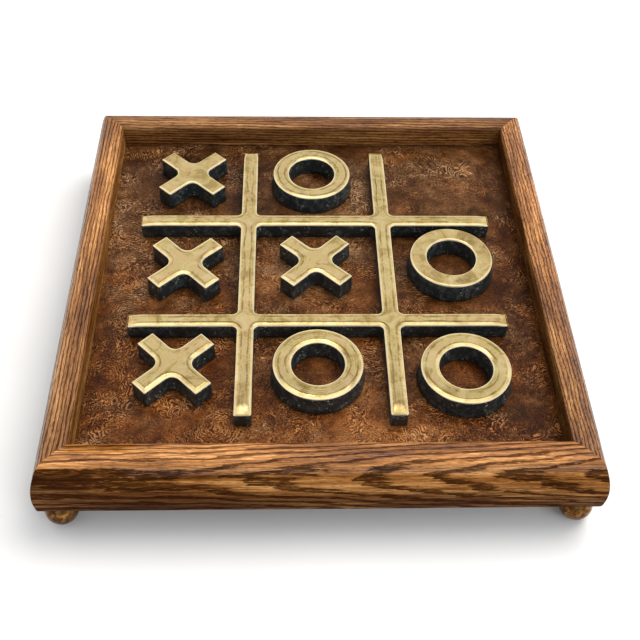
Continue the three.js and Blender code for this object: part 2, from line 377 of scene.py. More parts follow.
def oak_material():
    """Stained open-grain oak. The grain attribute holds a point of the board in millimetres, x
    along the grain, and the rings attribute counts growth rings, with pore bands as broad as the
    broad attribute says. Open and bold say how many pores lie between the bands and how dark they
    all are, painted_light paints light and shade as a factor on the wood's colour, and
    stain_and_shade darkens it with staining and painted shade and takes its gloss."""
    material, n = new_material("stained_oak")
    point = n.attribute("grain", "Vector")
    bend = n.stretched(point, (0.018, 0.11, 0.11), 2, 0.5)
    ripple = n.stretched(point, (0.07, 0.55, 0.55), 2, 0.6)
    year = n.math("ADD", n.attribute("rings"), n.span(bend, 0.2, 0.8, -0.45, 0.45))
    year = n.math("FRACT", n.math("ADD", year, n.span(ripple, 0.2, 0.8, -0.22, 0.22)))
    narrow = n.ramp(year, (0.0, 0.0), (0.05, 1.0), (0.26, 0.95), (0.46, 0.0), (1.0, 0.0))
    broad = n.ramp(year, (0.0, 0.0), (0.06, 1.0), (0.33, 0.90), (0.58, 0.0), (1.0, 0.0))
    early = n.mix(n.attribute("broad"), narrow, broad)

    dashes = n.stretched(point, (0.13, 2.0, 2.0), 2, 0.65, 0.3)
    hairs = n.stretched(point, (0.09, 2.6, 2.6), 3, 0.7)
    streaks = n.stretched(point, (0.012, 0.42, 0.42), 3, 0.6)
    tone = n.stretched(point, (0.010, 0.06, 0.06), 2, 0.5)

    in_band = n.span(n.math("MULTIPLY", early, n.span(dashes, 0.38, 0.48)), 0.28, 0.62)
    in_band = n.math("MULTIPLY", in_band, n.span(hairs, 0.38, 0.56, 0.60, 1.0))
    specks = n.stretched(point, (0.26, 2.1, 2.1), 1, 0.5)
    between = n.math("MULTIPLY", n.span(specks, 0.58, 0.66), n.attribute("open"))
    pores = n.math("MAXIMUM", in_band, between)
    level = n.total((hairs, 0.60), (streaks, 0.45), (tone, 0.60), (early, -0.09))
    colour = n.ramp(
        level,
        (0.62, (0.060, 0.017, 0.003)),
        (0.76, (0.215, 0.076, 0.014)),
        (0.86, (0.385, 0.156, 0.037)),
        (0.98, (0.720, 0.360, 0.122)),
    )
    fresh = n.math("MULTIPLY", pores, n.attribute("bold"))
    colour = n.mix(fresh, colour, (0.012, 0.004, 0.001))
    # Painted light and shade, rail by rail, as a factor on the colour
    painted_light = n.attribute("painted_light")
    colour = n.vector("MULTIPLY", colour, n.join(painted_light, painted_light, painted_light))
    # Staining, with painted shade low on the faces and on the inner faces
    stain_and_shade = n.math("MULTIPLY", n.attribute("stain_and_shade"), n.span(streaks, 0.3, 0.7, 1.12, 0.70))
    colour = n.mix(stain_and_shade, colour, (0.030, 0.008, 0.002))

    height = n.math("SUBTRACT", n.math("MULTIPLY", hairs, 0.35), pores)
    closed = n.span(pores, 0, 1, 1.0, 0.1)
    n.surface(
        Base_Color=colour,
        Roughness=n.span(pores, 0, 1, 0.38, 0.62),
        Specular_IOR_Level=n.math("MULTIPLY", n.span(stain_and_shade, 0.0, 0.20, 0.60, 0.02), closed),
        Normal=n.bump(height, 0.14, 0.9),
        Coat_Weight=n.math("MULTIPLY", n.span(stain_and_shade, 0.0, 0.15, 0.50, 0.0), closed),
        Coat_Roughness=0.11,
        Coat_Normal=n.bump(height, 0.07, 0.9),
    )
    return material


def burl_material():
    """Dark burl veneer. The eyes attribute is the distance to the nearest large swirl, in
    millimetres, clear marks the swirls that show plainly, and tone lightens or darkens: the
    veneer's own tone, with painted shade beside the right and back rails and painted light in front."""
    material, n = new_material("burl_veneer_lacquered")
    place_mm = n.object_mm()
    drift = n.vector("SUBTRACT", n.noise(place_mm, 0.05, 2, 0.5, output="Color"), (0.5, 0.5, 0.5))
    jitter = n.vector("SUBTRACT", n.noise(place_mm, 0.22, 2, 0.6, output="Color"), (0.5, 0.5, 0.5))
    moved = n.vector("ADD", place_mm, n.vector("MULTIPLY", drift, (16, 16, 0)))
    moved = n.vector("ADD", moved, n.vector("MULTIPLY", jitter, (4.5, 4.5, 0)))
    wiggle = n.noise(place_mm, 0.30, 2, 0.6)

    swirl = n.math("ADD", n.attribute("eyes"), n.span(wiggle, 0, 1, -3.0, 3.0))
    swirl = n.math("SINE", n.math("MULTIPLY", swirl, TAU / 1.6))
    small = n.add("ShaderNodeTexVoronoi", {"Vector": moved, "Scale": 0.105}).outputs["Distance"]
    bead = n.math("SINE", n.math("MULTIPLY", small, TAU * 7.5))
    worm = n.noise(moved, 0.70, 1, 0.5, 2.0)
    worm = n.span(n.math("ABSOLUTE", n.math("SUBTRACT", worm, 0.5)), 0.0, 0.10, 1.0, -1.0)
    grit = n.noise(place_mm, 1.05, 1, 0.7, 1.4)

    which = n.noise(place_mm, 0.035, 2, 0.5, 0.5)
    which = n.math("SUBTRACT", which, n.attribute("clear"))
    lines = n.mix(n.span(which, 0.42, 0.48), swirl, worm)
    lines = n.mix(n.span(which, 0.54, 0.60), lines, bead)
    broken = n.span(n.shifted(moved, (90, 40, 0), 0.30, 2, 0.6), 0.36, 0.52)
    figured = n.shifted(place_mm, (400, 250, 0), 0.034, 2, 0.5)
    figured = n.span(figured, 0.41, 0.57, 0.25, 1.2)
    broken = n.math("MULTIPLY", broken, figured)
    strokes = n.math("MULTIPLY", n.span(lines, 0.0, 0.8), broken)
    furrows = n.math("MULTIPLY", n.span(lines, -0.1, -0.9), n.span(broken, 0.0, 1.0, 0.25, 1.0))

    # The tone attribute mixes the veneer's own tone with painted shade beside the right and back rails
    # and painted light in front
    clouds = n.math("ADD", n.noise(place_mm, 0.020, 3, 0.55, 0.6), n.attribute("tone"))
    blots = n.shifted(moved, (55, 300, 0), 0.10, 2, 0.55)
    grit = n.math("MULTIPLY", n.math("SUBTRACT", grit, 0.5), n.span(figured, 0.25, 1.2, 0.6, 1.1))
    level = n.total((grit, 0.44), (clouds, 0.27), (blots, 0.26), (strokes, 0.16), (furrows, -0.09))
    level = n.math("ADD", level, 0.23)
    colour = n.ramp(
        level,
        (0.40, (0.018, 0.005, 0.001)),
        (0.49, (0.064, 0.022, 0.005)),
        (0.57, (0.142, 0.057, 0.017)),
        (0.66, (0.245, 0.116, 0.042)),
        (0.78, (0.440, 0.250, 0.112)),
    )
    # Grey and orange patches of the veneer; greyer towards the back is a painted sheen of reflected light
    patches = n.shifted(place_mm, (310, 120, 0), 0.030, 2, 0.5, 1.0)
    patches = n.math("SUBTRACT", patches, n.span(n.split(place_mm)[1], -110.0, 100.0, -0.12, 0.20))
    grey = n.mix(1.0, colour, (0.88, 0.98, 1.22), "MULTIPLY")
    orange = n.mix(1.0, colour, (1.05, 0.88, 0.68), "MULTIPLY")
    colour = n.mix(n.span(patches, 0.34, 0.62), grey, orange)
    spots = n.span(n.shifted(moved, (20, 510, 0), 0.28, 1), 0.66, 0.74)
    colour = n.mix(n.math("MULTIPLY", spots, 0.65), colour, (0.035, 0.008, 0.004))

    n.surface(
        Base_Color=colour,
        Roughness=n.span(level, 0.35, 0.7, 0.34, 0.27),
        Specular_IOR_Level=0.12,
        Normal=n.bump(level, 0.05, 0.6),
    )
    return material


def cast_brass_material():
    """Polished brass where the polish attribute is 1 and black paint where it is 0. The rim
    attribute is the distance in from a top's edge, in millimetres, and the dark_reflection_line
    attribute says where a brown line, a painted dark reflection, may run inside the edge."""
    material, n = new_material("cast_brass_and_black")
    place_mm = n.object_mm()
    rim = n.attribute("rim")
    worn = n.noise(place_mm, 0.9, 3, 0.7)
    polish = n.math("ADD", n.attribute("polish"), n.span(worn, 0.3, 0.7, -0.35, 0.35))
    polish = n.span(polish, 0.42, 0.58)

    tarnish = n.noise(place_mm, 0.10, 4, 0.6, 0.8)
    patches = n.shifted(place_mm, (70, 20, 0), 0.35, 2, 0.6)
    along_rim = n.join(n.math("MULTIPLY", rim, 2.6), n.math("MULTIPLY", tarnish, 3.0), 0.0)
    marks = n.noise(along_rim, 1.0, 3, 0.7)
    # A brown line inside the edge: a painted dark reflection
    wander = n.shifted(place_mm, (30, 90, 0), 0.06, 2, 0.4)
    line_at = n.math("ADD", n.span(wander, 0.3, 0.7, 2.4, 3.6), n.span(patches, 0.3, 0.7, -0.15, 0.15))
    line = n.math("ABSOLUTE", n.math("SUBTRACT", rim, line_at))
    stretches = n.shifted(place_mm, (0, 0, 40), 0.11, 3, 0.6)
    line = n.math("MULTIPLY", n.span(line, 0.1, 0.80, 1.0, 0.0), n.span(stretches, 0.42, 0.58))
    line = n.math("MULTIPLY", line, n.attribute("dark_reflection_line"))
    brass = n.ramp(
        n.total((tarnish, 0.65), (marks, 0.35)),
        (0.36, (0.500, 0.345, 0.115)),
        (0.49, (0.840, 0.630, 0.255)),
        (0.62, (1.000, 0.790, 0.385)),
    )
    flush = n.shifted(place_mm, (200, 0, 0), 0.06, 3, 0.6)
    brass = n.mix(n.span(flush, 0.45, 0.60), brass, n.mix(1.0, brass, (1.03, 0.98, 1.04), "MULTIPLY"))
    brass = n.mix(n.math("MULTIPLY", line, 0.75), brass, (0.260, 0.170, 0.050))

    # Paler brass along the top's edge: rubbed wear and a painted highlight
    brass = n.mix(n.span(rim, 0.25, 1.30, 0.70, 0.0), brass, (1.0, 0.90, 0.62))

    grit = n.noise(place_mm, 1.4, 3, 0.7)
    # Lighter bluish-grey patches on the black paint: dust, and a painted sheen
    dust_and_sheen = n.span(n.shifted(place_mm, (15, 60, 0), 0.22, 5, 0.75), 0.51, 0.64)
    clusters = n.span(n.shifted(place_mm, (80, 10, 30), 0.14, 2, 0.5), 0.47, 0.56)
    flakes = n.shifted(place_mm, (5, 44, 9), 0.80, 2, 0.75)
    chips = n.math("MULTIPLY", n.span(flakes, 0.60, 0.66), clusters)
    paint = n.ramp(grit, (0.3, (0.003, 0.006, 0.006)), (0.7, (0.013, 0.022, 0.024)))
    paint = n.mix(n.math("MULTIPLY", dust_and_sheen, 0.62), paint, (0.078, 0.090, 0.088))
    paint = n.mix(chips, paint, (0.290, 0.290, 0.265))

    height = n.mix(polish, grit, n.math("MULTIPLY", marks, 0.03))
    n.surface(
        Base_Color=n.mix(polish, paint, brass),
        Metallic=polish,
        Roughness=n.mix(polish, n.span(grit, 0.3, 0.7, 0.50, 0.34), n.span(marks, 0.3, 0.7, 0.12, 0.20)),
        Normal=n.bump(height, 0.22, 0.8),
    )
    return material


def ball_brass_material():
    material, n = new_material("turned_brass")
    place_mm = n.object_mm()
    tarnish = n.noise(place_mm, 0.25, 4, 0.65, 1.0)
    turning = n.stretched(place_mm, (0.02, 0.02, 6.0), 2, 0.6)
    colour = n.ramp(
        tarnish,
        (0.32, (0.048, 0.015, 0.004)),
        (0.50, (0.138, 0.058, 0.015)),
        (0.70, (0.400, 0.225, 0.070)),
    )
    n.surface(
        Base_Color=colour,
        Metallic=1.0,
        Roughness=n.span(tarnish, 0.3, 0.7, 0.34, 0.14),
        Normal=n.bump(turning, 0.02, 0.4),
    )
    return material


def plywood_material():
    """Bare plywood: straight soft grain along x with darker growth lines."""
    material, n = new_material("bare_plywood")
    place_mm = n.object_mm()
    wave = n.stretched(place_mm, (0.006, 0.03, 0.0), 3, 0.5)
    y = n.split(place_mm)[1]
    year = n.total((y, 0.035), (wave, 5.0))
    band = n.span(n.math("SINE", n.math("MULTIPLY", year, TAU)), -1.0, 1.0)
    fibre = n.stretched(place_mm, (0.05, 2.4, 1.0), 3, 0.6)
    level = n.total((band, 0.22), (fibre, 0.78))
    colour = n.ramp(
        level,
        (0.20, (0.330, 0.200, 0.100)),
        (0.50, (0.470, 0.310, 0.170)),
        (0.80, (0.560, 0.400, 0.240)),
    )
    n.surface(
        Base_Color=colour,
        Roughness=n.span(fibre, 0.3, 0.7, 0.85, 0.7),
        Normal=n.bump(fibre, 0.08, 0.6),
    )
    return material


def steel_material():
    material, n = new_material("zinc_steel")
    place_mm = n.object_mm()
    bloom = n.noise(place_mm, 0.8, 3, 0.6)
    colour = n.ramp(bloom, (0.3, (0.30, 0.28, 0.24)), (0.7, (0.55, 0.54, 0.50)))
    n.surface(
        Base_Color=colour,
        Metallic=1.0,
        Roughness=n.span(bloom, 0.3, 0.7, 0.5, 0.3),
        Normal=n.bump(bloom, 0.02, 0.5),
    )
    return material


def floor_material():
    material, n = new_material("pale_floor")
    place_mm = n.object_mm()
    mottle = n.noise(place_mm, 0.01, 2)
    colour = n.ramp(mottle, (0.3, (0.70, 0.70, 0.70)), (0.7, (0.73, 0.73, 0.73)))
    n.surface(Base_Color=colour, Roughness=0.9)
    return material


# ---------------------------------------------------------------- the oak tray

def bezier(start, control, end, steps):
    """Points of a quadratic curve after its start."""
    points = []
    for i in range(1, steps + 1):
        t = i / steps
        points.append(start * (1 - t) ** 2 + control * (2 * t * (1 - t)) + end * t ** 2)
    return points


def arc(centre, radius, start, end, steps):
    """Points of an arc after its start, between two angles in radians."""
    points = []
    for i in range(1, steps + 1):
        angle = start + (end - start) * i / steps
        points.append(centre + radius * Vector((math.cos(angle), math.sin(angle))))
    return points


def line(start, end, steps):
    return [start.lerp(end, i / steps) for i in range(1, steps + 1)]


def rail_section():
    """Closed section of a rail: distance from the centre of the board, and height."""
    low, high = box_mm("right_rail")
    inner, outer = low.x, high.x
    bottom, top = low.z, high.z
    panel_top = box_mm("burl_veneer")[1].z + GROOVE_SLACK
    panel_bottom = box_mm("panel_core")[0].z - GROOVE_SLACK

    bow = Vector((outer - OUTER_BOW, bottom + OUTER_WIDEST))
    lower = math.asin((BOTTOM_ROUND - OUTER_WIDEST) / OUTER_BOW)
    upper = math.asin((top - CROWN_TO_BOW - bow.y) / OUTER_BOW)
    crown = Vector((CROWN_MIDDLE, top - CROWN_RADIUS))
    lean = math.asin(CROWN_HALF_WIDTH / CROWN_RADIUS)
    crown_edge = crown.y + CROWN_RADIUS * math.cos(lean)
    bow_start = bow + OUTER_BOW * Vector((math.cos(lower), math.sin(lower)))
    bow_end = bow + OUTER_BOW * Vector((math.cos(upper), math.sin(upper)))

    points = [Vector((inner + BOTTOM_BEVEL, bottom))]
    points += line(points[-1], Vector((outer - BOTTOM_ROUND, bottom)), 4)
    points += bezier(points[-1], Vector((outer - 0.4, bottom)), bow_start, 10)
    points += arc(bow, OUTER_BOW, lower, upper, 18)
    points += bezier(bow_end, Vector((bow_end.x - 1, crown_edge - 0.6)),
                     Vector((CROWN_MIDDLE + CROWN_HALF_WIDTH, crown_edge)), 8)
    points += arc(crown, CROWN_RADIUS, math.pi / 2 - lean, math.pi / 2 + lean, 10)
    inner_edge = Vector((inner, crown_edge - CROWN_TO_INSIDE))
    points += bezier(points[-1], Vector((inner, crown_edge - 0.5)), inner_edge, 8)
    points += line(points[-1], Vector((inner, panel_top)), 6)
    points.append(Vector((inner + GROOVE_DEPTH, panel_top)))
    points.append(Vector((inner + GROOVE_DEPTH, panel_bottom)))
    points.append(Vector((inner, panel_bottom)))
    points += line(points[-1], Vector((inner, bottom + BOTTOM_BEVEL)), 6)
    return points


def section_normals(points):
    """Outward direction at each point of a closed anticlockwise section."""
    normals = []
    count = len(points)
    for i in range(count):
        run = points[(i + 1) % count] - points[i - 1]
        normals.append(Vector((run.y, -run.x)).normalized())
    return normals


# Quarter turns from the right rail, where each rail lies along the log, and how short its pores are
RAILS = {
    "right_rail": (0, 40.0, 2.0),
    "back_rail": (1, 700.0, 1.0),
    "left_rail": (2, 1300.0, 1.3),
    "front_rail": (3, 2050.0, 1.1),
}
# Spacing and slant of the growth rings of the rails with straight grain
STRAIGHT_GRAIN = {"left_rail": (2.2, 0.010), "right_rail": (2.1, -0.022), "back_rail": (2.3, 0.015)}
FLAME_HEIGHT = 49.0
# Where each flame's tip lies along the front rail, and the ring that it belongs to
FLAME_TIPS = (
    (-152.0, 0.25), (-60.0, 0.55), (-41.0, 1.0), (14.5, 2.0),
    (47.0, 3.0), (97.5, 4.0), (140.5, 5.0), (152.0, 5.3),
)
FLAME_BEND_DOWN = 0.0058
FLAME_BEND_UP = 0.0115
FLAME_STRAIGHT = 15.0


def flame_rings(along, across):
    """Growth rings of a flat sawn face, as flames that open along the rail. Across is measured
    over the section from the flames' middle line, upwards."""
    places, counts = zip(*FLAME_TIPS)
    bend = FLAME_BEND_UP if across > 0 else FLAME_BEND_DOWN
    near = min(abs(across), FLAME_STRAIGHT)
    beyond = abs(across) - near
    return np.interp(along, places, counts) - bend * (near * near + 2 * FLAME_STRAIGHT * beyond)


def rail_rings(name, along, across):
    """Growth rings of a rail: flames on the front rail, nearly straight lines on the others."""
    if name == "front_rail":
        return flame_rings(along, across)
    pitch, drift = STRAIGHT_GRAIN[name]
    return (across + drift * along) / pitch


# How many pores lie between the bands, and how dark all the pores are
OPEN_PORES = {"front_rail": 0.55, "left_rail": 0.65, "back_rail": 0.80, "right_rail": 0.9}
BOLD_PORES = {"front_rail": 0.90, "left_rail": 0.80, "back_rail": 0.72, "right_rail": 0.80}
CROWN_BOLDNESS = 0.76  # how dark the pores are on a crown, beside those on the faces
# Painted shade on the inner faces, and stain all over
INNER_PAINTED_SHADE = {"front_rail": 0.33, "left_rail": 0.33, "back_rail": 0.05, "right_rail": 0.78}
BASE_STAIN = {"front_rail": 0.06, "left_rail": 0.05, "back_rail": 0.07, "right_rail": 0.0}
# Painted light and shade on the wood, rail by rail, as a factor on its colour
PAINTED_LIGHT = {"front_rail": 1.12, "left_rail": 0.93, "back_rail": 0.62, "right_rail": 1.06}
# Painted shade: how much of its brightness a side rail loses towards the front
NEAR_PAINTED_SHADE = {"front_rail": 0.0, "left_rail": 0.28, "back_rail": 0.0, "right_rail": 0.38}


def stain_and_shade_depth(name, along, across, height):
    """How dark the staining and painted shade on a rail are, from 0 to 1. Painted shade darkens the
    faces low down and the inner faces, and the front rail has a blot and a smudge of staining at its
    left end."""
    # Painted shade, darker low on the outer face
    outer = 0.93 * share(height, 55.0, 29.0) * share(across, CROWN_MIDDLE, CROWN_MIDDLE + 6)
    # Painted shade on the inner face
    inner = INNER_PAINTED_SHADE[name] * share(height, 56.5, 50.0)
    inner *= share(across, CROWN_MIDDLE - 4, CROWN_MIDDLE - 6)
    depth = max(outer, inner, BASE_STAIN[name])
    if name == "front_rail":
        blot = share(along, -92.0, -126.0) * share(height, 56.0, 50.0)
        smudge = share(along, -92.0, -106.0) * share(along, -138.0, -126.0) * share(across, 140.0, 136.5)
        depth = max(depth, 0.92 * blot, 0.42 * smudge)
    return depth


def painted_light_factor(name, y, height):
    """Painted light and shade on a rail's wood, as a factor on its colour."""
    level = PAINTED_LIGHT[name] - NEAR_PAINTED_SHADE[name] * share(y, 10.0, -90.0)
    if name == "back_rail":
        # Less painted shade on the back rail's inner face
        level += 0.5 * (1 - level) * share(height, 55.0, 50.0)
    return level


def breadth(name, across, height):
    """How broad the pore bands are: 1 on the flat sawn face of the front rail, 0 elsewhere."""
    if name != "front_rail":
        return 0.0
    return share(height, 57.0, 53.0) * share(across, CROWN_MIDDLE, CROWN_MIDDLE + 4)


def boldness(name, across, height):
    """How dark a rail's pores are, from 0 to 1."""
    crown = share(height, 53.5, 56.0) * share(across, CROWN_MIDDLE + 8, CROWN_MIDDLE + 5)
    return BOLD_PORES[name] * (1 - (1 - CROWN_BOLDNESS) * crown)


def section_lengths(section):
    """Distance over the section to each point, upwards from the flames' middle line."""
    lengths = [0.0]
    for a, b in zip(section, section[1:]):
        lengths.append(lengths[-1] + (b - a).length)
    middle = next(i for i, p in enumerate(section) if p.x > CROWN_MIDDLE and p.y > FLAME_HEIGHT)
    return [length - lengths[middle] for length in lengths]


def build_rail(name, material):
    quarter, log_place, pace = RAILS[name]
    section = rail_section()
    normals = section_normals(section)
    across = section_lengths(section)
    half = max(p.x for p in section)
    rows = round(2 * half / RAIL_STEP)
    shares = [-1 + 2 * i / rows for i in range(rows + 1)]
    turn = Matrix.Rotation(quarter * math.pi / 2, 3, "Z")
    points, grain, looks = [], [], []
    last = len(shares) + 1
    for row in range(last + 1):
        is_end = row in (0, last)
        side_share = shares[min(max(row - 1, 0), rows)]
        for spot, normal, reach_over in zip(section, normals, across):
            ease = END_EASE if is_end else 0.0
            a, z = spot - ease * normal
            reach = a - MITRE_GAP - (0.0 if is_end else END_EASE_LENGTH)
            along = side_share * reach
            if not is_end:
                swell = RAIL_SWELL * rough((along, a * 2, z * 2), 26, quarter + 1) - RAIL_SWELL
                a, z = spot + min(0.0, swell) * normal
            points.append(turn @ Vector((a, along, z)))
            grain.append((pace * along + log_place, a, z))
            looks.append((
                rail_rings(name, along, reach_over), stain_and_shade_depth(name, along, a, z), OPEN_PORES[name],
                boldness(name, a, z), painted_light_factor(name, points[-1].y, z), breadth(name, a, z),
            ))
    count = len(section)
    faces = []
    for row in range(last):
        for i in range(count):
            j = (i + 1) % count
            faces.append((row * count + i, row * count + j, (row + 1) * count + j, (row + 1) * count + i))
    faces.append(tuple(range(count - 1, -1, -1)))
    faces.append(tuple(last * count + i for i in range(count)))
    rail = make_object(f"{name}_oak", points, faces, [material])
    add_values(rail, "grain", grain, "FLOAT_VECTOR")
    for key, values in zip(("rings", "stain_and_shade", "open", "bold", "painted_light", "broad"), zip(*looks)):
        add_values(rail, key, values)
    return place(rail, "board", "oak", name)


# ---------------------------------------------------------------- the burl field

# Swirls that show plainly in the veneer: centre, and how much wider than deep they are
CLEAR_EYES = (
    (-122.0, -75.0, 1.0), (-114.0, -112.0, 1.2), (-56.0, -112.0, 1.0), (80.0, 90.0, 2.2),
    (106.0, 85.0, 1.0), (10.0, -107.0, 1.3), (118.0, 20.0, 1.0), (-120.0, 40.0, 1.4),
)
EYE_REACH = 13.0
EYE_FADE = 3.0
EYE_STRENGTH = 0.35

# Broad lighter and darker areas: centre, reach along x and y, and strength. They mix the veneer's
# own tone with painted shade beside the right and back rails and painted light at the front.
TONE_AND_SHADE_AREAS = (
    (0.0, -114.0, 90.0, 26.0, 0.23), (-118.0, 30.0, 22.0, 60.0, 0.08), (88.0, 85.0, 42.0, 30.0, 0.15),
    (-35.0, 95.0, 40.0, 40.0, -0.20), (-15.0, 0.0, 35.0, 35.0, 0.26), (125.0, 0.0, 22.0, 90.0, -0.16),
    (105.0, -112.0, 36.0, 30.0, -0.26), (85.0, 0.0, 22.0, 22.0, -0.16), (-85.0, 118.0, 60.0, 18.0, -0.20),
)


def burl_eyes(half, spacing=34.0, seed=11):
    """Centres and stretches of the burl's large swirls: the clear ones, and a seeded scatter."""
    draw = random.Random(seed)
    eyes = list(CLEAR_EYES)
    steps = round(2 * half / spacing)
    for i in range(steps):
        for j in range(steps):
            x = -half + (i + draw.random()) * spacing
            y = -half + (j + draw.random()) * spacing
            clear = min(math.hypot(x - e[0], y - e[1]) for e in CLEAR_EYES)
            stretch = draw.uniform(1.0, 2.0)
            if clear > 0.6 * spacing:
                eyes.append((x, y, stretch))
    return np.array(eyes)


def nearest(x, y, eyes):
    """Distance from each point of a grid to the nearest swirl, stretched as the swirl is."""
    return np.hypot((x[..., None] - eyes[:, 0]) / eyes[:, 2], y[..., None] - eyes[:, 1]).min(axis=2)


def build_burl(material):
    low, high = box_mm("burl_veneer")
    half = high.x
    side = round(2 * half / VENEER_STEP) + 1
    line_mm = np.linspace(-half, half, side)
    x, y = np.meshgrid(line_mm, line_mm)
    eyes = nearest(x, y, burl_eyes(half)).ravel()
    # Tone areas, with painted shade beside the right and back rails and painted light in front
    tone = sum(
        strength * np.exp(-((x - cx) / rx) ** 2 - ((y - cy) / ry) ** 2)
        for cx, cy, rx, ry, strength in TONE_AND_SHADE_AREAS
    ).ravel()
    known = nearest(x, y, np.array(CLEAR_EYES))
    clear = (EYE_STRENGTH * np.clip((EYE_REACH - known) / EYE_FADE, 0.0, 1.0)).ravel()
    spots = list(zip(x.ravel(), y.ravel()))
    points = [(px, py, low.z) for px, py in spots]
    points += [(px, py, high.z + 0.03 * (rough((px, py, 0), 14, 3) - 1)) for px, py in spots]
    steps = side - 1
    top = side * side
    faces = []
    for j in range(steps):
        for i in range(steps):
            a = j * side + i
            faces.append((a, a + side, a + side + 1, a + 1))
            faces.append((top + a, top + a + 1, top + a + side + 1, top + a + side))
    border = list(range(steps))
    border += [j * side + steps for j in range(steps)]
    border += [steps * side + i for i in range(steps, 0, -1)]
    border += [j * side for j in range(steps, 0, -1)]
    for a, b in zip(border, border[1:] + border[:1]):
        faces.append((a, b, top + b, top + a))
    sheet = make_object("burl_field", points, faces, [material])
    for key, numbers in (("eyes", eyes), ("tone", tone), ("clear", clear)):
        add_values(sheet, key, np.concatenate([numbers, numbers]))
    return place(sheet, "board", "burl", "burl_veneer")


# ---------------------------------------------------------------- brass castings

SIDE_FOOT = 0.9  # height of the rounded foot of a casting's side
SIDE_LIP = 1.0  # depth of the plain lip below the brass edge


def side_profile(base_lean, edge_z):
    """Painted side from the base up to the brass edge, as (offset, height, polish)."""
    rows = [(base_lean - 0.9, 0.0, 0.0), (base_lean - 0.25, 0.25, 0.0), (base_lean, SIDE_FOOT, 0.0)]
    for part in (0.2, 0.4, 0.6, 0.8):
        rows.append((base_lean * (1 - part), SIDE_FOOT + (edge_z - SIDE_FOOT - SIDE_LIP) * part, 0.0))
    rows.append((0.10, edge_z - SIDE_LIP, 0.0))
    rows.append((0.03, edge_z - 0.45, 0.15))
    rows.append((0.0, edge_z, 1.0))
    return rows


# Crown of a top from its edge inwards, as (offset, height)
PIECE_EDGE = 11.80
PIECE_TOP = (
    (-0.10, 11.95), (-0.35, 12.10), (-0.8, 12.27), (-1.4, 12.44), (-2.0, 12.57),
    (-2.5, 12.65), (-2.9, 12.69), (-3.3, 12.70), (-4.0, 12.695), (-4.8, 12.69),
)
# Pieces whose crown is narrower, as a share of the others' width
CROWN_WIDTHS = {"o_piece_2": 0.45, "o_piece_1": 0.8, "x_piece_1": 0.45, "o_piece_4": 0.85}
GRID_EDGE = 10.35
GRID_TOP = (
    (-0.10, 10.50), (-0.35, 10.71), (-0.8, 10.96), (-1.3, 11.16), (-1.8, 11.27),
    (-2.4, 11.335), (-2.9, 11.37), (-3.4, 11.39), (-4.0, 11.40), (-4.6, 11.40),
)
# A bar's top bends down near its end: the slope, where it starts, and how softly it bends
BAR_END_SLOPE = 0.17
BAR_END_KNEE = 5.4
BAR_END_SOFTNESS = 2.2

NO_END = 1000.0  # farther than any outline reaches
NO_FADING = (NO_END, NO_END - 1.0)


def end_drop(spot, bar_reach):
    """How far the top has fallen where a bar slopes down towards its end."""
    past = max(abs(spot.x), abs(spot.y)) - bar_reach + BAR_END_KNEE
    return BAR_END_SLOPE * (past + math.hypot(past, BAR_END_SOFTNESS)) / 2


def pitting(point, seed):
    """How far the rough side of a casting strays from true at a point."""
    return 0.16 * rough(point, 3.2, seed) + 0.10 * rough(point, 11, seed)


def waving(point, seed):
    """How far a polished top strays, always downwards."""
    return 0.025 * rough(point, 11, seed + 4) + 0.03 * rough(point, 30, seed) - 0.06


def casting(name, loops_at, rows, centre, angle, material, seed, bar_reach=NO_END, fading=NO_FADING):
    """Joins loops at several offsets and heights into one closed casting with flat ends. Rows are
    (offset, height, polish). Fading holds two distances from the centre: there is no painted dark
    reflection line beyond the first, and it is at its strongest within the second."""
    turn = Matrix.Rotation(angle, 2)
    points, polish, rim, dark_reflection_line = [], [], [], []
    starts = []
    for offset, height, shine in rows:
        loops = loops_at(offset)
        starts.append([])
        for loop in loops:
            starts[-1].append((len(points), len(loop)))
            for spot in loop:
                # Where the painted dark reflection line may show
                dark_reflection_line.append(share(max(abs(spot.x), abs(spot.y)), *fading))
                spot = turn @ spot + centre.xy
                z = centre.z + height
                if shine < 0.5 and height > 0.5:
                    spot = spot + Vector((pitting((*spot, z), seed), pitting((*spot, z), seed + 9)))
                elif shine > 0.5:
                    z += waving((*spot, 0), seed) - end_drop(spot, bar_reach)
                points.append((spot.x, spot.y, z))
                polish.append(shine)
                rim.append(max(0.0, -offset))
    faces = []
    for below, above in zip(starts, starts[1:]):
        for (a, count), (b, _) in zip(below, above):
            for i in range(count):
                j = (i + 1) % count
                faces.append((a + i, a + j, b + j, b + i))
    piece = make_object(name, points, faces, [material], 40)
    cap_ends(piece.data, starts)
    for key, numbers in (("polish", polish), ("rim", rim), ("dark_reflection_line", dark_reflection_line)):
        add_values(piece, key, numbers)
    return piece


def cap_ends(mesh, starts):
    """Fills the first and last loops of a casting with flat faces."""
    bm = bmesh.new()
    bm.from_mesh(mesh)
    bm.verts.ensure_lookup_table()
    for level in (starts[0], starts[-1]):
        wanted = set()
        for start, count in level:
            wanted.update(range(start, start + count))
        edges = [
            e for e in bm.edges
            if e.is_boundary and e.verts[0].index in wanted and e.verts[1].index in wanted
        ]
        bmesh.ops.triangle_fill(bm, edges=edges, use_beauty=True)
    bmesh.ops.recalc_face_normals(bm, faces=bm.faces)
    for face in bm.faces:
        face.smooth = True
    bm.to_mesh(mesh)
    bm.free()


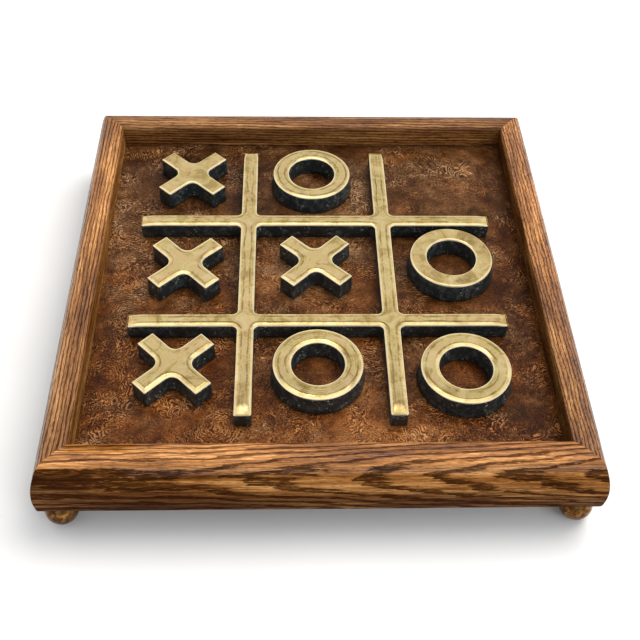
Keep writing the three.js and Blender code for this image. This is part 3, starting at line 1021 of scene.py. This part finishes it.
def grid_loops():
    reach = box_mm("brass_grid")[1].x
    near = BAR_OFFSET - BAR_WIDTH / 2
    far = BAR_OFFSET + BAR_WIDTH / 2
    outer = Outline(quartered([
        (reach, -far, BAR_TIP), (reach, -near, BAR_TIP),
        (far, -near, GRID_FILLET), (far, near, GRID_FILLET),
        (reach, near, BAR_TIP), (reach, far, BAR_TIP), (far, far, GRID_FILLET),
    ]), GRID_STEP)
    middle = Outline([
        (-near, -near, GRID_FILLET), (-near, near, GRID_FILLET),
        (near, near, GRID_FILLET), (near, -near, GRID_FILLET),
    ], GRID_STEP)
    return lambda offset: [outer.loop(offset), middle.loop(offset)]


def build_grid(material):
    low, high = box_mm("brass_grid")
    centre = Vector((0, 0, low.z))
    rows = side_profile(0.0, GRID_EDGE) + [(o, z, 1.0) for o, z in GRID_TOP]
    rows[0] = (-0.5, 0.0, 0.0)
    piece = casting("grid_casting", grid_loops(), rows, centre, 0.0, material, 21, high.x,
                    (high.x - 9.0, high.x - 26.0))
    return place(piece, "board", "cast_brass", "brass_grid")


def build_x(index, material):
    node = f"x_piece_{index}"
    centre = base_mm(node)
    half = X_ARM / 2
    outline = Outline(quartered([
        (X_REACH, -half, X_TIP), (X_REACH, half, X_TIP), (half, half, X_FILLET),
    ]), X_STEP)
    crown = CROWN_WIDTHS.get(node, 1.0)
    rows = side_profile(X_LEAN, PIECE_EDGE) + [(o * crown, z, 1.0) for o, z in PIECE_TOP]
    angle = math.pi / 4 + math.radians(X_TURNS[index - 1])
    piece = casting(f"x_casting_{index}", lambda offset: [outline.loop(offset)], rows, centre, angle,
                    material, 30 + index, fading=(X_REACH - 5.0, X_REACH - 12.0))
    return place(piece, node, "cast_brass", node)


def build_o(index, material):
    node = f"o_piece_{index}"
    centre = base_mm(node)
    ring = Ring(O_OUTER, O_HOLE, O_SIDES)
    crown = CROWN_WIDTHS.get(node, 1.0)
    rows = side_profile(O_LEAN, PIECE_EDGE) + [(o * crown, z, 1.0) for o, z in PIECE_TOP]
    piece = casting(f"o_casting_{index}", ring.loops, rows, centre, 0.0, material, 50 + index)
    return place(piece, node, "cast_brass", node)


# ---------------------------------------------------------------- feet and screws

def turned_piece(name, profile, centre, sides, material):
    """A body of revolution about z. The profile runs from the axis to the axis."""
    points, faces = [], []
    inner = profile[1:-1]
    for r, z in inner:
        for i in range(sides):
            angle = TAU * i / sides
            points.append((centre.x + r * math.cos(angle), centre.y + r * math.sin(angle), centre.z + z))
    bottom = len(points)
    points.append((centre.x, centre.y, centre.z + profile[0][1]))
    points.append((centre.x, centre.y, centre.z + profile[-1][1]))
    last = (len(inner) - 1) * sides
    for i in range(sides):
        j = (i + 1) % sides
        faces.append((bottom, j, i))
        faces.append((bottom + 1, last + i, last + j))
        for row in range(len(inner) - 1):
            a = row * sides
            faces.append((a + i, a + j, a + sides + j, a + sides + i))
    return make_object(name, points, faces, [material])


def build_ball(corner, material):
    node = f"ball_foot_{corner}"
    top = box_mm(node)[1].z
    centre = base_mm(node)
    centre.z = 0.0
    middle = math.sqrt(BALL_RADIUS ** 2 - BALL_FLAT ** 2)
    start = -math.acos(BALL_FLAT / BALL_RADIUS)
    end = math.asin((top - middle) / BALL_RADIUS)
    profile = [(0.0, 0.0)]
    for i in range(BALL_ROWS + 1):
        angle = start + (end - start) * i / BALL_ROWS
        profile.append((BALL_RADIUS * math.cos(angle), middle + BALL_RADIUS * math.sin(angle)))
    profile.append((0.0, top))
    piece = turned_piece(f"ball_{corner}", profile, centre, BALL_SIDES, material)
    return place(piece, "board", "ball_brass", node)


# Pan head screws that hold the grid, with a cross recess, and the thread of screws and studs
SCREW_HEAD_RADIUS = 4.0
SCREW_HEAD_HEIGHT = 2.4
SCREW_HEAD_ROUND = 1.0
SCREW_HEAD_BEVEL = 0.15
SCREW_HEAD_RINGS = 24
SCREW_RADIUS = 1.9
SCREW_SIDES = 72
STUD_SIDES = 36
THREAD_DEPTH = 0.3
THREAD_PITCH = 0.8
THREAD_CLEAR = 0.3  # plain length at either end of a thread
RECESS_REACH = 2.1
RECESS_HALF_WIDTH = 0.42
RECESS_DEPTH = 1.3


def thread(radius, start, end):
    """Ridged profile of a shank, from its lower end to its upper end."""
    points = []
    ridges = int((end - start) / THREAD_PITCH)
    for i in range(ridges):
        z = start + i * THREAD_PITCH
        points += [(radius - THREAD_DEPTH, z + 0.1 * THREAD_PITCH), (radius, z + 0.5 * THREAD_PITCH)]
    points.append((radius - THREAD_DEPTH, end))
    return points


def press_recess(screw, centre):
    """Sinks a cross into the face of a screw's head."""
    for vertex in screw.data.vertices:
        x, y, z = vertex.co / MM - centre
        near, far = sorted((abs(x), abs(y)))
        on_face = z < SCREW_HEAD_BEVEL
        if on_face and near < RECESS_HALF_WIDTH and far < RECESS_REACH:
            vertex.co.z += RECESS_DEPTH * MM * (1 - 0.5 * far / RECESS_REACH)


def build_screw(corner, material):
    node = f"grid_screw_{corner}"
    low, high = box_mm(node)
    centre = base_mm(node)
    length = high.z - low.z
    flat = SCREW_HEAD_RADIUS - SCREW_HEAD_ROUND
    profile = [(flat * i / SCREW_HEAD_RINGS, 0.0) for i in range(SCREW_HEAD_RINGS + 1)]
    rounding = Vector((flat, SCREW_HEAD_ROUND))
    profile += [tuple(p) for p in arc(rounding, SCREW_HEAD_ROUND, -math.pi / 2, 0.0, 6)]
    profile.append((SCREW_HEAD_RADIUS, SCREW_HEAD_HEIGHT - SCREW_HEAD_BEVEL))
    profile.append((SCREW_HEAD_RADIUS - SCREW_HEAD_BEVEL, SCREW_HEAD_HEIGHT))
    profile.append((SCREW_RADIUS, SCREW_HEAD_HEIGHT))
    profile += thread(SCREW_RADIUS, SCREW_HEAD_HEIGHT + THREAD_CLEAR, length - THREAD_CLEAR)
    profile.append((0.0, length))
    piece = turned_piece(f"screw_{corner}", profile, centre, SCREW_SIDES, material)
    press_recess(piece, centre)
    return place(piece, "board", "screw_steel", node)


def build_stud(corner, material):
    node = f"foot_stud_{corner}"
    low, high = box_mm(node)
    centre = base_mm(node)
    radius = (high.x - low.x) / 2
    length = high.z - low.z
    profile = [(0.0, 0.0)] + thread(radius, 0.0, length - THREAD_CLEAR) + [(0.0, length)]
    piece = turned_piece(f"stud_{corner}", profile, centre, STUD_SIDES, material)
    return place(piece, "board", "screw_steel", node)


def paint_cad(node, material):
    """Gives a CAD node that stays its material."""
    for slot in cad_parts[node].material_slots:
        slot.material = material


# ---------------------------------------------------------------- stage, light and camera

FLOOR_REACH = 9000.0


def build_floor(material):
    corners = [(x * FLOOR_REACH, y * FLOOR_REACH, 0) for x, y in ((-1, -1), (1, -1), (1, 1), (-1, 1))]
    make_object("floor", corners, [(0, 1, 2, 3)], [material])


def build_world():
    """A room of soft tones: bright overhead, a darker band below that, and mid tones around."""
    world = bpy.data.worlds.new("studio")
    bpy.context.scene.world = world
    world.use_nodes = True
    n = Nodes(world.node_tree)
    direction = n.add("ShaderNodeTexCoord").outputs["Generated"]
    x, y, z = n.split(direction)
    glow = n.ramp(
        z,
        (0.0, 0.70), (0.28, 0.70), (0.42, 0.42), (0.66, 0.44), (0.785, 0.52),
        (0.805, 0.15), (0.84, 0.18), (0.865, 0.88), (1.0, 0.92),
    )
    glow = n.mix(n.span(y, -0.70, 0.0, 1.0, 0.0), glow, (0.30, 0.30, 0.31))
    flank = n.span(n.math("ABSOLUTE", x), 0.30, 0.44)
    glow = n.mix(n.math("MULTIPLY", flank, n.span(z, 0.40, 0.55)), glow, (0.66, 0.66, 0.66))
    side = n.total((x, 0.72), (y, -0.62))
    cool = n.mix(n.span(side, 0.75, 0.95), (0.0, 0.0, 0.0), (0.40, 0.46, 0.56))
    glow = n.mix(1.0, glow, cool, "ADD")
    background = n.add("ShaderNodeBackground", {"Color": glow, "Strength": 1.5})
    output = n.add("ShaderNodeOutputWorld")
    n.tree.links.new(background.outputs[0], output.inputs[0])


def add_area_light(name, at, target, width, height, power, colour):
    data = bpy.data.lights.new(name, "AREA")
    data.shape = "RECTANGLE"
    data.size = width
    data.size_y = height
    data.energy = power
    data.color = colour
    light = new_object(name, data)
    light.location = at
    light.rotation_euler = (Vector(target) - Vector(at)).to_track_quat("-Z", "Y").to_euler()
    return light


def build_lights():
    middle = (0, 0, 0.05)
    add_area_light("back_softbox", (-0.06, 0.45, 1.44), middle, 0.25, 0.06, 0.3, (1.0, 0.97, 0.90))
    key = add_area_light("key_softbox", (0.62, 0.42, 1.60), middle, 1.2, 1.2, 34.0, (1.0, 0.96, 0.90))
    fill = add_area_light("front_softbox", (1.1, -1.2, 0.85), middle, 0.9, 0.7, 9.0, (0.88, 0.94, 1.0))
    for light in (key, fill):
        light.visible_glossy = False


def build_camera():
    turn, down, roll = (math.radians(a) for a in (CAMERA_TURN, CAMERA_DOWN, CAMERA_ROLL))
    forward = Vector((
        math.sin(turn) * math.cos(down), math.cos(turn) * math.cos(down), -math.sin(down),
    ))
    level = forward.cross(Vector((0, 0, 1))).normalized()
    upright = level.cross(forward)
    right = math.cos(roll) * level + math.sin(roll) * upright
    up = math.cos(roll) * upright - math.sin(roll) * level
    data = bpy.data.cameras.new("camera")
    data.lens = LENS
    camera = new_object("camera", data)
    axes = Matrix((right, up, -forward)).transposed().to_4x4()
    camera.matrix_world = Matrix.Translation(CAMERA_AT) @ axes
    bpy.context.scene.camera = camera


# ---------------------------------------------------------------- build it all

def main():
    oak = oak_material()
    brass = cast_brass_material()
    ball_brass = ball_brass_material()
    steel = steel_material()
    plywood = plywood_material()
    for name in RAILS:
        build_rail(name, oak)
    build_burl(burl_material())
    paint_cad("panel_core", plywood)
    build_grid(brass)
    for index in range(1, 5):
        build_x(index, brass)
        build_o(index, brass)
    for corner in ("front_left", "front_right", "back_right", "back_left"):
        build_ball(corner, ball_brass)
        build_screw(corner, steel)
        build_stud(corner, steel)
    build_floor(floor_material())
    build_world()
    build_lights()
    build_camera()
    bpy.context.scene.view_settings.view_transform = "Standard"


main()
